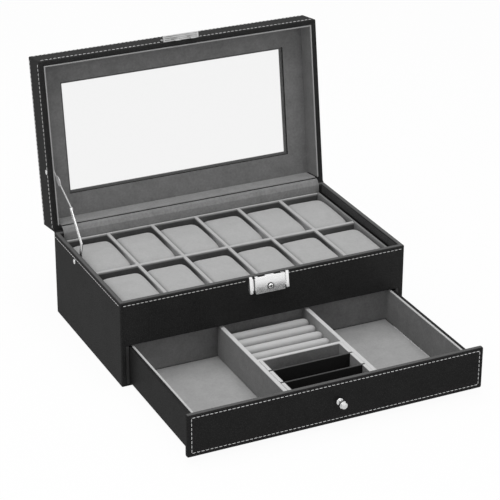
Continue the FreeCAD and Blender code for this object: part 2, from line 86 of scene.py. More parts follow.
def cellSkin(xs, ys, zs, filled):
    # boards are filled cells of a 3-D grid; the skin is every face between a filled cell and an empty one
    solid = np.pad(np.asarray(filled, np.int8), 1)
    grid = np.stack(np.meshgrid(xs, ys, zs, indexing="ij"), -1).reshape(-1, 3).astype(float)
    number = np.arange(len(grid)).reshape(len(xs), len(ys), len(zs))
    quads = []
    for axis in range(3):
        inside = [slice(1, -1)] * 3
        inside[axis] = slice(None)
        step = np.diff(solid, axis=axis)[tuple(inside)]
        sideA, sideB = np.eye(3, dtype=int)[[(axis + 1) % 3, (axis + 2) % 3]]
        for sign in (1, -1):
            low = np.argwhere(step == sign)
            corners = np.stack([low, low + sideA, low + sideA + sideB, low + sideB], 1)[:, ::-sign]
            quads.append(number[corners[..., 0], corners[..., 1], corners[..., 2]])
    used, faces = np.unique(np.concatenate(quads), return_inverse=True)
    return grid[used], faces.reshape(-1, 4)


def joined(*skins):
    # several skins as one vertex and one face array
    starts = np.cumsum([0] + [len(verts) for verts, _ in skins[:-1]])
    return (np.concatenate([verts for verts, _ in skins]),
            np.concatenate([faces + start for (_, faces), start in zip(skins, starts)]))


def block(x0, x1, y0, y1, z0, z1):
    # one filled cell
    return cellSkin([x0, x1], [y0, y1], [z0, z1], np.ones((1, 1, 1)))


def gridFaces(rows, columns, wrapRows=False, wrapColumns=True):
    # quads of a rows x columns grid of points, wrapped round where asked
    r = np.arange(rows if wrapRows else rows - 1)
    c = np.arange(columns if wrapColumns else columns - 1)
    r, c = (part.ravel() for part in np.meshgrid(r, c, indexing="ij"))
    nextR, nextC = (r + 1) % rows, (c + 1) % columns
    return np.stack([r * columns + c, r * columns + nextC, nextR * columns + nextC, nextR * columns + c], -1)


pole = 0.01   # radius left where a turned profile meets its axis


def lathe(profile, sides, centre, along, start):
    # profile (radius, height) turned about an axis: centre + height*along + radius*(cos, sin) across
    along = np.array(along, float)
    across = np.array(start, float)
    other = np.cross(along, across)
    angle = np.arange(sides) * 2 * np.pi / sides
    ring = np.cos(angle)[:, None] * across + np.sin(angle)[:, None] * other
    radius, height = np.array(profile, float).T
    points = np.array(centre) + height[:, None, None] * along + radius[:, None, None] * ring
    return points.reshape(-1, 3), gridFaces(len(profile), sides)


def meshOf(name, verts, faces, smooth=True):
    mesh = bpy.data.meshes.new(name)
    mesh.from_pydata((np.asarray(verts) * mm).tolist(), [], [list(face) for face in faces])
    mesh.polygons.foreach_set("use_smooth", np.full(len(mesh.polygons), smooth))
    mesh.update()
    return mesh


tightShare = 0.2   # of the rounding, kept by edges along a hinge line


def weighOuterEdges(mesh, tightLine=None):
    # an edge is an outer one where the second face's middle lies behind the first face's plane;
    # edges along the line (y, z) keep only the tight share of the rounding
    count = len(mesh.polygons)
    normal, middle = np.empty(count * 3), np.empty(count * 3)
    mesh.polygons.foreach_get("normal", normal)
    mesh.polygons.foreach_get("center", middle)
    total, edgeOf = np.empty(count, int), np.empty(len(mesh.loops), int)
    mesh.polygons.foreach_get("loop_total", total)
    mesh.loops.foreach_get("edge_index", edgeOf)
    pair = np.repeat(np.arange(count), total)[np.argsort(edgeOf, kind="stable")].reshape(-1, 2)
    normal, middle = normal.reshape(-1, 3), middle.reshape(-1, 3)
    gap = ((middle[pair[:, 1]] - middle[pair[:, 0]]) * normal[pair[:, 0]]).sum(1)
    weight = (gap < -1e-7).astype(np.float32)
    if tightLine is not None:
        ends, spots = np.empty(len(mesh.edges) * 2, int), np.empty(len(mesh.vertices) * 3)
        mesh.edges.foreach_get("vertices", ends)
        mesh.vertices.foreach_get("co", spots)
        near = np.abs(spots.reshape(-1, 3)[:, 1:] / mm - tightLine).max(1) < 0.01
        weight[near[ends].reshape(-1, 2).all(1)] *= tightShare
    mesh.attributes.new("bevel_weight_edge", "FLOAT", "EDGE").data.foreach_set("value", weight)


def place(name, mesh, finish, body, stands=()):
    piece = bpy.data.objects.new(name, mesh)
    scene.collection.objects.link(piece)
    mesh.materials.clear()
    mesh.materials.append(finish)
    if body:
        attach(piece, body)
    if stands:
        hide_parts(*stands)
    return piece


sharpAngle = math.radians(40)


def rounded(piece, radius, steps, method):
    # method WEIGHT takes the weighed edges, ANGLE those that turn by more than sharpAngle
    bevel = piece.modifiers.new("roundedEdges", "BEVEL")
    bevel.width = radius * mm
    bevel.segments = steps
    bevel.limit_method = method
    bevel.angle_limit = sharpAngle
    bevel.harden_normals = True
    return piece


def boards(name, skin, radius, finish, body, stands=(), pose=asIs, steps=3, tightLine=None):
    # cells with rounded outer edges
    mesh = meshOf(name, pose(skin[0]), skin[1])
    weighOuterEdges(mesh, tightLine)
    return rounded(place(name, mesh, finish, body, stands), radius, steps, "WEIGHT")


def eased(node, radius, finish, body):
    # a merged copy of a CAD node with its sharp edges eased
    mesh = nodes[node].data.copy()
    mesh.name = node + "Eased"
    work = bmesh.new()
    work.from_mesh(mesh)
    bmesh.ops.remove_doubles(work, verts=work.verts, dist=1e-6)
    bmesh.ops.dissolve_limit(work, angle_limit=math.radians(1), verts=work.verts, edges=work.edges)
    work.to_mesh(mesh)
    work.free()
    mesh.polygons.foreach_set("use_smooth", np.full(len(mesh.polygons), True))
    return rounded(place(node + "Eased", mesh, finish, body, (node,)), radius, 2, "ANGLE")


# Finishes

class Wire:
    # one socket of a node tree; sums on it add Math nodes
    def __init__(self, tree, socket=None):
        self.tree = tree
        self.socket = socket

    def node(self, kind, settings=None, sockets=None, out=0):
        made = self.tree.nodes.new(kind)
        for name, value in (settings or {}).items():
            setattr(made, name, value)
        for name, value in (sockets or {}).items():
            if isinstance(value, Wire):
                self.tree.links.new(value.socket, made.inputs[name])
            else:
                made.inputs[name].default_value = value
        return Wire(self.tree, made.outputs[out] if len(made.outputs) else None)

    def math(self, operation, *values, clamp=False):
        settings = {"operation": operation, "use_clamp": clamp}
        return self.node("ShaderNodeMath", settings, dict(enumerate(values)))

    def __add__(self, other):
        return self.math("ADD", self, other)

    def __sub__(self, other):
        return self.math("SUBTRACT", self, other)

    def __rsub__(self, other):
        return self.math("SUBTRACT", other, self)

    def __mul__(self, other):
        return self.math("MULTIPLY", self, other)

    def __truediv__(self, other):
        return self.math("DIVIDE", self, other)

    def __rtruediv__(self, other):
        return self.math("DIVIDE", other, self)

    __radd__ = __add__
    __rmul__ = __mul__

    def held(self):
        return self.math("ADD", self, 0, clamp=True)

    def blended(self, low, high):
        # low where the mask is 0 and high where it is 1, both colours
        return self.node("ShaderNodeMix", {"data_type": "RGBA"}, {0: self, 6: low, 7: high}, 2)


def grey(value, warm=0.0):
    return (value * (1 + warm), value, value * (1 - warm), 1)


def newFinish(name):
    finish = bpy.data.materials.new(name)
    finish.use_nodes = True
    finish.node_tree.nodes.clear()
    return finish, Wire(finish.node_tree)


def surface(start, sockets):
    shader = start.node("ShaderNodeBsdfPrincipled", {}, sockets)
    start.node("ShaderNodeOutputMaterial", {}, {"Surface": shader})


def objectPoint(start):
    return start.node("ShaderNodeTexCoord", {}, {}, 3)


def noise(start, point, scale, detail, **more):
    return start.node("ShaderNodeTexNoise", {}, {"Vector": point, "Scale": scale, "Detail": detail, **more})


def bumped(start, height, strength, distance):
    return start.node("ShaderNodeBump", {}, {"Height": height, "Strength": strength, "Distance": distance})


def nearTop(start, point, direction, level, fade):
    # 0 up to level - fade along the direction, and 1 from level on
    reach = start.node("ShaderNodeVectorMath", {"operation": "DOT_PRODUCT"}, {0: point, 1: direction}, 1)
    return ((reach - (level - fade) * mm) / (fade * mm)).held()


# the last two numbers set the painted light on a board's top face: its tone, and how far down it fades
leatherLook = {"colour": 0.008, "worn": 0.028, "grain": 560, "pores": 2600, "depth": 0.0003, "rough": 0.5,
               "coat": 0.16, "coatRough": 0.4, "paintedTopTone": 0.1, "topFade": 0.5}


def leatherFinish(name, lift=1, top=None):
    # pebbled grain, with painted light on a board's top face: the top is painted paler because it faces the
    # light
    finish, start = newFinish(name)
    point = objectPoint(start)
    grain = start.node("ShaderNodeTexVoronoi", {"feature": "DISTANCE_TO_EDGE"},
                       {"Vector": point, "Scale": leatherLook["grain"], "Randomness": 0.9})
    pebble = (grain * 3.2).held()
    pores = noise(start, point, leatherLook["pores"], 3)
    cloud = noise(start, point, 45, 4)
    bump = bumped(start, pebble * 0.8 + pores * 0.35, 0.55, leatherLook["depth"])
    # lift makes lit and shaded copies of one leather: painted light where it is above 1, painted shade where it
    # is below 1
    low, high = (grey(leatherLook[shade] * lift) for shade in ("colour", "worn"))
    colour = (cloud * 0.35 + pebble * 0.65).held().blended(low, high)
    if top:
        # painted top light: faces at the top level are painted paler than the rest of the leather
        paintedTopLight = nearTop(start, point, up, top, leatherLook["topFade"])
        colour = (paintedTopLight * (0.75 + 0.5 * cloud)).held().blended(colour, grey(leatherLook["paintedTopTone"]))
    surface(start, {"Base Color": colour, "Roughness": leatherLook["rough"] + 0.12 * cloud - 0.06 * pebble,
                    "Specular IOR Level": 0.0, "Coat Weight": leatherLook["coat"],
                    "Coat Roughness": leatherLook["coatRough"], "Normal": bump})
    return finish


def velvetFinish(name, shade, paintedTopTone=None, top=None, fade=0.7, sheen=0.35, mottle=0.3):
    # short pile: fine fibres, soft clouds where it was brushed, and painted light where top's plane is reached:
    # faces up there are painted paler, as the light falls on them
    finish, start = newFinish(name)
    point = objectPoint(start)
    fibre = noise(start, point, 2400, 4, Roughness=0.7)
    brushed = noise(start, point, 70, 5, Distortion=0.6)
    tuft = noise(start, point, 420, 3, Roughness=0.6)
    mask = (brushed * 0.35 + tuft * 0.4 + fibre * 0.25 - 0.5) * 2.4 + 0.5
    colour = mask.held().blended(grey(shade * (1 - mottle)), grey(shade * (1 + mottle)))
    if top:
        lit = nearTop(start, point, *top, fade)
        colour = (lit * (0.75 + 0.5 * fibre)).held().blended(colour, grey(paintedTopTone))
    bump = bumped(start, fibre + 0.5 * brushed, 0.4, 0.0002)
    surface(start, {"Base Color": colour, "Roughness": 0.92 + 0.06 * fibre, "Specular IOR Level": 0.15,
                    "Sheen Weight": sheen, "Sheen Roughness": 0.45, "Normal": bump})
    return finish


def metalFinish(name, shade, rough, brushed=0.0, metallic=1.0):
    finish, start = newFinish(name)
    point = objectPoint(start)
    smear = noise(start, point, 160, 4)
    colour = smear.blended(grey(shade * 0.94), grey(shade * 1.03))
    sockets = {"Base Color": colour, "Metallic": metallic, "Roughness": rough + 0.08 * smear}
    if brushed:
        drawn = start.node("ShaderNodeMapping", {}, {"Vector": point, "Scale": (60, 1800, 1800)})
        sockets["Normal"] = bumped(start, noise(start, drawn, 1, 2), brushed, 0.00005)
    surface(start, sockets)
    return finish


def threadFinish():
    finish, start = newFinish("stitchThread")
    twist = noise(start, objectPoint(start), 1500, 2)
    colour = twist.blended(grey(0.5), grey(0.75))
    bump = bumped(start, twist, 0.5, 0.0002)
    surface(start, {"Base Color": colour, "Roughness": 0.7 + 0.1 * twist, "Normal": bump})
    return finish


def boardFinish():
    finish, start = newFinish("bayBoard")
    fleck = noise(start, objectPoint(start), 900, 3)
    surface(start, {"Base Color": fleck.blended(grey(0.012), grey(0.026)), "Roughness": 0.75 + 0.15 * fleck})
    return finish


# a grey finish that is painted reflection: the pale backdrop seen in the black leather by the window
def revealReflectionFinish():
    finish, start = newFinish("windowEdgePaintedReflection")
    fleck = noise(start, objectPoint(start), 600, 3)
    surface(start, {"Base Color": fleck.blended(grey(0.11), grey(0.145)), "Roughness": 0.7 + 0.15 * fleck,
                    "Specular IOR Level": 0.1})
    return finish


def glassFinish():
    finish, start = newFinish("clearGlass")
    haze = noise(start, objectPoint(start), 18, 3)
    surface(start, {"Base Color": haze.blended(grey(0.02), grey(0.03)), "Roughness": 0.03 + 0.03 * haze,
                    "Alpha": 0.048})
    return finish


leather = leatherFinish("blackLeather")
# caseSkin is a lighter copy of the leather (painted light), with painted top light on its rim as well;
# rimLeather is a much paler copy, painted light
caseSkin = leatherFinish("caseSkin", 1.15, case["rim"])
rimLeather = leatherFinish("rimLeather", 3)
thread = threadFinish()
lockPlating = metalFinish("lockPlating", 0.96, 0.08, metallic=0.8)
catchPlating = metalFinish("catchPlating", 0.5, 0.3, metallic=0.8)
knobChrome = metalFinish("knobChrome", 0.6, 0.16)
steel = metalFinish("brightSteel", 0.6, 0.22, 0.25)
dullSteel = metalFinish("dullSteel", 0.42, 0.36, 0.25, 0.25)
# a near-black finish that is painted shade for the recesses round the key
paintedShadeSteel = metalFinish("paintedRecessShade", 0.03, 0.5)
bayBoard = boardFinish()
revealReflection = revealReflectionFinish()
glass = glassFinish()
# heights where each piece's velvet gets its painted top light, palest there as it faces the light
paintedLightAt = {"tray": 84.5, "lining": 43.4, "divider": 42.9, "roll": 35.5, "slot": 42.6, "lidRim": 94.7}
# the tray velvet's walls are painted dark as shade and its tops painted pale as light; the end walls get a
# dimmer copy of it
trayVelvet = velvetFinish("trayVelvet", 0.055, 0.41, (up, paintedLightAt["tray"]), 2.3)
endVelvet = velvetFinish("endVelvet", 0.11, 0.17, (up, paintedLightAt["tray"]), 4)
pillowVelvet = velvetFinish("pillowVelvet", 0.37, mottle=0.12, sheen=0.3)
lidVelvet = velvetFinish("lidVelvet", 0.175)
# the lid liners get painted light along their edge at the rim
rimSpot, insideSpot = lidAtRest(np.array([[0, 0, paintedLightAt["lidRim"]], [0, 0, paintedLightAt["lidRim"] + 1]]))
rimward = rimSpot - insideSpot
linerVelvet = velvetFinish("linerVelvet", 0.14, 0.36, (rimward, float(rimSpot @ rimward)), 0.9)
flapVelvet = velvetFinish("flapVelvet", 0.21)
liningVelvet = velvetFinish("liningVelvet", 0.16, 0.5, (up, paintedLightAt["lining"]), 0.9)
dividerVelvet = velvetFinish("dividerVelvet", 0.14, 0.55, (up, paintedLightAt["divider"]), 0.9)
floorVelvet = velvetFinish("drawerFloorVelvet", 0.35, mottle=0.16)
rollVelvet = velvetFinish("rollVelvet", 0.2, 0.5, (up, paintedLightAt["roll"]), 7)
blackVelvet = velvetFinish("blackVelvet", 0.006, 0.06, (up, paintedLightAt["slot"]), 0.5, sheen=0.06)
print("finishes made:", len(bpy.data.materials))


# Leather case and lid

caseWrap = {"radius": 1.5, "steps": 4}


def caseLeather():
    # cells of a 3 x 3 x 3 grid: the bottom, both sides, the back, and the front above the drawer
    xs = [-case["halfX"], -innerX, innerX, case["halfX"]]
    ys = [-case["halfY"], -innerY, innerY, case["halfY"]]
    zs = [0, case["bottom"], case["bayTop"], case["rim"]]
    filled = np.zeros((3, 3, 3), bool)
    filled[:, :, 0] = True
    filled[[0, 2]] = True
    filled[:, 2] = True
    filled[:, 0, 2] = True
    boards("caseLeather", cellSkin(xs, ys, zs, filled), caseWrap["radius"], caseSkin, "base",
           ("bottom_board", "left_side_panel", "right_side_panel", "back_panel", "upper_front_panel"),
           steps=caseWrap["steps"], tightLine=(case["halfY"], case["rim"]))


rimLining = {"skin": 0.25, "fromRim": 1.4, "backGap": 1.5, "radius": 0.1}


def innerRims():
    # a strip on each side panel's inner face, above the tray, in a much paler copy of the leather: painted
    # light on that face
    back = innerY - rimLining["backGap"]
    strips = [block(*sorted(side * edge for edge in (innerX - rimLining["skin"], innerX)), -innerY, back,
                    case["trayTop"], case["rim"] - rimLining["fromRim"]) for side in (-1, 1)]
    boards("innerRims", joined(*strips), rimLining["radius"], rimLeather, "base")


piping = {"radius": 1.2, "halfX": 159.4, "sides": 16}


def hingePiping():
    # a leather cord along the hinge line, which fills the groove between lid and case
    half, radius = piping["halfX"], piping["radius"]
    verts, faces = lathe([(pole, -half), (radius, -half), (radius, half), (pole, half)], piping["sides"],
                         (0, case["halfY"], case["rim"]), (1, 0, 0), (0, 1, 0))
    place("hingePiping", meshOf("hingePiping", verts, faces, False), leather, "base")


lidWrap = {"radius": 1.3, "steps": 4, "windowX": 128, "windowY": 59, "revealLow": 120.2}


def lidLeather():
    # walls, a board behind the lining that leaves a step round the glass, and the top frame
    xs, ys = ([-edge for edge in edges] + edges[::-1] for edges in (
        [case["halfX"], innerX, lidLining["openX"], lidWrap["windowX"]],
        [case["halfY"], innerY, lidLining["openY"], lidWrap["windowY"]]))
    zs = [case["lidLow"], lidWrap["revealLow"], case["frameLow"], case["lidTop"]]
    filled = np.ones((7, 7, 3), bool)
    filled[1:6, 1:6, 0] = False
    filled[2:5, 2:5, 1] = False
    filled[3, 3, 2] = False
    hingeLine = lidAtRest(np.array([[0, case["halfY"], case["lidLow"]]]))[0, 1:]
    boards("lidLeather", cellSkin(xs, ys, zs, filled), lidWrap["radius"], leather, "lid",
           ("lid_front_wall", "lid_back_wall", "lid_left_wall", "lid_right_wall", "lid_top_frame"),
           lidAtRest, lidWrap["steps"], hingeLine)


windowEdge = {"skin": 0.3, "high": 125.4, "radius": 0.1}


def revealReflectionSkin():
    # a grey skin on the step behind the glass and on the edge of the window: painted reflection, standing in
    # for the pale backdrop that the black leather there reflects
    skin = windowEdge["skin"]
    xs, ys = ([-edge for edge in edges] + edges[::-1] for edges in (
        [lidLining["openX"], lidWrap["windowX"], lidWrap["windowX"] - skin],
        [lidLining["openY"], lidWrap["windowY"], lidWrap["windowY"] - skin]))
    filled = np.ones((5, 5, 2), bool)
    filled[[0, 4], :, 1] = False
    filled[:, [0, 4], 1] = False
    filled[2, 2] = False
    ring = cellSkin(xs, ys, [case["frameLow"] - skin, case["frameLow"], windowEdge["high"]], filled)
    boards("revealReflectionSkin", ring, windowEdge["radius"], revealReflection, "lid", (), lidAtRest)


lidLining = {"radius": 0.45, "liner": 1.5, "low": 94.8, "high": 119.2, "flapRoom": 0.8,
             "openX": 130, "openY": 61}


def lidVelvets():
    # liners along three walls in a U, and a flat ring round the window
    x, y, wall, radius = innerX, innerY, lidLining["liner"], lidLining["radius"]
    filled = np.zeros((3, 2, 1), bool)
    filled[:, 0] = True
    filled[[0, 2]] = True
    walls = cellSkin([-x, -x + wall, x - wall, x], [-y, -y + wall, y - lidLining["flapRoom"]],
                     [lidLining["low"], lidLining["high"]], filled)
    boards("lidWallVelvet", walls, radius, linerVelvet, "lid", ("lid_wall_liners",), lidAtRest)
    filled = np.ones((3, 3, 1), bool)
    filled[1, 1] = False
    openX, openY = lidLining["openX"], lidLining["openY"]
    ring = cellSkin([-x, -openX, openX, x], [-y, -openY, openY, y],
                    [lidLining["high"], lidWrap["revealLow"]], filled)
    boards("lidFrameVelvet", ring, radius, lidVelvet, "lid", ("lid_lining_frame",), lidAtRest)


# Stitching

stitch = {"pitch": 4.6, "length": 3.6, "radius": 0.36, "arch": 0.25, "sides": 6, "blunt": 0.3, "sunk": 0.35}


def stitchRow(start, end, normal):
    # capsules along a line: rings of radius r*sqrt(1 - t^4), no less than blunt*r, bowed out of the face
    # by arch*(1 - t^2) and sunk into it by a share of r
    start, end, normal = (np.array(part, float) for part in (start, end, normal))
    run = end - start
    count = max(1, round(np.linalg.norm(run) / stitch["pitch"]))
    along = run / np.linalg.norm(run)
    side = np.cross(normal, along)
    t = np.array([-1, -0.75, 0, 0.75, 1])
    angle = np.arange(stitch["sides"]) * 2 * np.pi / stitch["sides"]
    radius = stitch["radius"] * np.maximum(np.sqrt(1 - t ** 4), stitch["blunt"])
    lift = stitch["arch"] * (1 - t ** 2) - stitch["radius"] * stitch["sunk"]
    capsule = ((t * stitch["length"] / 2)[:, None, None] * along
               + (radius[:, None] * np.cos(angle))[..., None] * side
               + (radius[:, None] * np.sin(angle) + lift[:, None])[..., None] * normal).reshape(-1, 3)
    centres = start + run * ((np.arange(count) + 0.5) / count)[:, None]
    last = (len(t) - 1) * stitch["sides"]
    firstEnd = np.array([[3, 2, 1, 0], [5, 4, 3, 0]])
    lastEnd = last + np.array([[0, 1, 2, 3], [0, 3, 4, 5]])
    faces = np.concatenate([gridFaces(len(t), stitch["sides"]), firstEnd, lastEnd])
    size = len(capsule)
    return ((centres[:, None] + capsule).reshape(-1, 3),
            (faces[None] + (np.arange(count) * size)[:, None, None]).reshape(-1, 4))


def stitching(name, rows, body, pose=asIs):
    skin = joined(*[stitchRow(*row) for row in rows])
    place(name, meshOf(name, pose(skin[0]), skin[1]), thread, body)


def wallRows(z, trim, gap=0):
    # a row on each of the four outer faces, the front one left open by gap each side of the middle
    x, y = case["halfX"], case["halfY"]
    endX, endY = x - trim, y - trim
    spans = [(-endX, -gap), (gap, endX)] if gap else [(-endX, endX)]
    return [((start, -y, z), (end, -y, z), (0, -1, 0)) for start, end in spans] + [
        ((-x, endY, z), (-x, -endY, z), (-1, 0, 0)), ((x, -endY, z), (x, endY, z), (1, 0, 0)),
        ((endX, y, z), (-endX, y, z), (0, 1, 0))]


seams = {"fromRim": 3.8, "lidRim": 3.6, "lidTop": 3.2, "trim": 3, "lockGap": 23, "catchGap": 22,
         "frontInset": 4.6, "frontTop": 3.3}


def allStitching():
    # rows below the case's rim, at both edges of the lid's walls and round the drawer front
    rows = wallRows(case["rim"] - seams["fromRim"], seams["trim"], seams["lockGap"])
    stitching("caseStitching", rows, "base")
    rows = wallRows(case["lidLow"] + seams["lidRim"], seams["trim"], seams["catchGap"])
    rows += wallRows(case["lidTop"] - seams["lidTop"], seams["trim"])
    stitching("lidStitching", rows, "lid", lidAtRest)
    inset = seams["frontInset"]
    x, y = case["halfX"] - inset, -case["halfY"] - drawerFront["thick"]
    low, high = drawerFront["low"] + inset, drawerFront["high"] - seams["frontTop"]
    out = (0, -1, 0)
    rows = [((-x, y, low), (x, y, low), out), ((x, y, low), (x, y, high), out),
            ((x, y, high), (-x, y, high), out), ((-x, y, high), (-x, y, low), out)]
    stitching("drawerStitching", rows, "drawer", drawerAtRest)


# Watch tray

tray = {"wallX": 151.5, "wall": 2.5, "divider": 3.5, "pitch": 51, "radius": 0.6}


def trayBoards():
    # every second column and row of one grid is filled, and a block closes each end
    half = tray["divider"] / 2
    lines = [tray["pitch"] * step + side for step in (-2, -1, 0, 1, 2) for side in (-half, half)]
    outer = tray["wallX"]
    inner = outer - tray["wall"]
    xs = [-inner] + lines + [inner]
    ys = [-innerY, -innerY + tray["wall"], -half, half, innerY - tray["wall"], innerY]
    filled = np.zeros((len(xs) - 1, len(ys) - 1, 1), bool)
    filled[1::2] = True
    filled[:, ::2] = True
    skin = cellSkin(xs, ys, [case["deckTop"], case["trayTop"]], filled)
    boards("trayDividers", skin, tray["radius"], trayVelvet, "base",
           ("tray_long_walls", "long_divider", "cross_dividers"))
    ends = [block(*sorted((side * inner, side * outer)), -innerY, innerY, case["deckTop"], case["trayTop"])
            for side in (-1, 1)]
    boards("trayEnds", joined(*ends), tray["radius"], endVelvet, "base", ("tray_end_walls",))


# Pillows and ring rolls

padCloth = {"stiffness": 40, "frames": 20}


def padded(verts, faces, voxel, pressure, cap):
    # cloth: the closed form swells under inner pressure, and no point moves further than cap
    source = bpy.data.objects.new("padSource", meshOf("padSource", verts, faces))
    scene.collection.objects.link(source)
    remesh = source.modifiers.new("remesh", "REMESH")
    remesh.mode = "VOXEL"
    remesh.voxel_size = voxel * mm
    bpy.context.view_layer.update()
    mesh = bpy.data.meshes.new_from_object(source.evaluated_get(bpy.context.evaluated_depsgraph_get()))
    bpy.data.objects.remove(source)
    before = np.empty(len(mesh.vertices) * 3)
    mesh.vertices.foreach_get("co", before)
    after = before.copy()
    pad = bpy.data.objects.new("padCloth", mesh)
    scene.collection.objects.link(pad)
    cloth = pad.modifiers.new("cloth", "CLOTH")
    cloth.settings.use_pressure = True
    cloth.settings.uniform_pressure_force = pressure
    cloth.settings.effector_weights.gravity = 0
    cloth.settings.tension_stiffness = padCloth["stiffness"]
    cloth.settings.compression_stiffness = padCloth["stiffness"]
    for step in range(1, padCloth["frames"] + 1):
        scene.frame_set(step)
    swollen = pad.evaluated_get(bpy.context.evaluated_depsgraph_get())
    swollen.data.vertices.foreach_get("co", after)
    scene.frame_set(1)
    bpy.data.objects.remove(pad)
    moved = (after - before).reshape(-1, 3)
    length = np.linalg.norm(moved, axis=1, keepdims=True)
    moved *= np.minimum(1, cap * mm / np.maximum(length, 1e-9))
    corners = np.empty(len(mesh.loops), int)
    mesh.loops.foreach_get("vertex_index", corners)
    return (before.reshape(-1, 3) + moved) / mm, corners.reshape(-1, 4)


def signedPower(value, power):
    return np.sign(value) * np.abs(value) ** power


def superLoaf(half, plan, upright, rows=32, columns=64):
    # superellipsoid: plan and upright are the powers of cos and sin round its middle and over its top
    tall = np.linspace(-np.pi / 2, np.pi / 2, rows + 2)[1:-1, None]
    turn = (np.arange(columns) * 2 * np.pi / columns)[None]
    x = half[0] * signedPower(np.cos(tall), upright) * signedPower(np.cos(turn), plan)
    y = half[1] * signedPower(np.cos(tall), upright) * signedPower(np.sin(turn), plan)
    z = half[2] * signedPower(np.sin(tall), upright) * np.ones_like(turn)
    side = np.stack([x, y, z], -1).reshape(-1, 3)
    poles = np.array([[0, 0, -half[2]], [0, 0, half[2]]])
    ring = np.arange(columns)
    low = np.stack([np.full(columns, len(side)), np.roll(ring, -1), ring, ring], -1)
    high = np.stack([np.full(columns, len(side) + 1), ring, np.roll(ring, -1), np.roll(ring, -1)], -1)
    high[:, 1:] += (rows - 1) * columns
    faces = gridFaces(rows, columns).tolist() + low[:, :3].tolist() + high[:, :3].tolist()
    return np.concatenate([side, poles]), faces


def fitted(verts, low, high):
    # stretches a form so that its box is the given one
    size = verts.max(0) - verts.min(0)
    return low + (verts - verts.min(0)) / size * (high - low)


def smoothOnce(piece):
    subdivided = piece.modifiers.new("softer", "SUBSURF")
    subdivided.levels = 1
    subdivided.render_levels = 1


pillow = {"count": 12, "section": 0.5, "ends": 0.15, "shrink": 0.97, "voxel": 3, "pressure": 4, "cap": 1.5,
          "dent": 0.5, "wave": (0.05, 0.11), "phase": (0, 6.28), "seed": 12, "fill": 0.85}


def pillows():
    # one swollen loaf fitted to each CAD box, its top lowered by dent * (1 + sin(x) * sin(y)) / 2
    low, high = (np.array(corner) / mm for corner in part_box("pillow_1"))
    half = (high - low) / 2 * pillow["shrink"]
    # the loaf lies along X, so its top is an arch seen from the side
    verts, faces = superLoaf(half[[1, 2, 0]], pillow["section"], pillow["ends"])
    form, faces = padded(verts[:, [2, 0, 1]], faces, pillow["voxel"], pillow["pressure"], pillow["cap"])
    draw = np.random.default_rng(pillow["seed"])
    for number in range(1, pillow["count"] + 1):
        low, high = (np.array(corner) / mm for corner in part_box(f"pillow_{number}"))
        verts = fitted(form, low, high)
        wave, phase = draw.uniform(*pillow["wave"], 3), draw.uniform(*pillow["phase"], 3)
        dent = np.sin(verts[:, 0] * wave[0] + phase[0]) * np.sin(verts[:, 1] * wave[1] + phase[1])
        above = np.clip((verts[:, 2] - low[2]) / (high[2] - low[2]), 0, 1)
        verts[:, 2] -= pillow["dent"] * (1 + dent) / 2 * above
        name = f"watchPillow.{number}"
        piece = place(name, meshOf(name, verts, faces), pillowVelvet, f"pillow_{number}",
                      (f"pillow_{number}",))
        smoothOnce(piece)


ringRoll = {"count": 5, "firstY": -159.1, "pitch": 15.8, "width": 14.6, "halfX": 45.7, "low": 6.5,
            "high": 35.3, "section": 0.75, "ends": 0.12, "shrink": 0.97, "voxel": 2, "pressure": 3, "cap": 1,
            "fill": 0.9}


def ringRolls():
    half = np.array([ringRoll["halfX"], ringRoll["width"] / 2, (ringRoll["high"] - ringRoll["low"]) / 2])
    # the loaf stands on its end, so its height becomes the roll's length along X
    verts, faces = superLoaf(half[[1, 2, 0]] * ringRoll["shrink"], ringRoll["section"], ringRoll["ends"])
    form, faces = padded(verts[:, [2, 0, 1]], faces, ringRoll["voxel"], ringRoll["pressure"], ringRoll["cap"])
    for number in range(ringRoll["count"]):
        y = ringRoll["firstY"] + ringRoll["pitch"] * number
        low = np.array([-half[0], y - half[1], ringRoll["low"]])
        high = np.array([half[0], y + half[1], ringRoll["high"]])
        name = f"ringRoll.{number + 1}"
        mesh = meshOf(name, fitted(form, low, high), faces)
        piece = place(name, mesh, rollVelvet, "drawer", ("ring_rolls",))
        smoothOnce(piece)


# Hinge flap

flap = {"halfX": 151, "thick": 0.8, "rows": 100, "columns": 60, "round": 2, "dip": 2.7, "dipWidth": 1.4,
        "dipAlong": (0.6, 0.8), "creaseOn": 0.5,
        "rise": [(85.6, 85.5), (85.6, 90), (85.9, 94), (88.4, 98), (92.2, 100.4)],
        "shelf": [(93.2, 100.1), (97, 99.9), (105, 98.8), (112, 97.8), (117, 97.1)]}


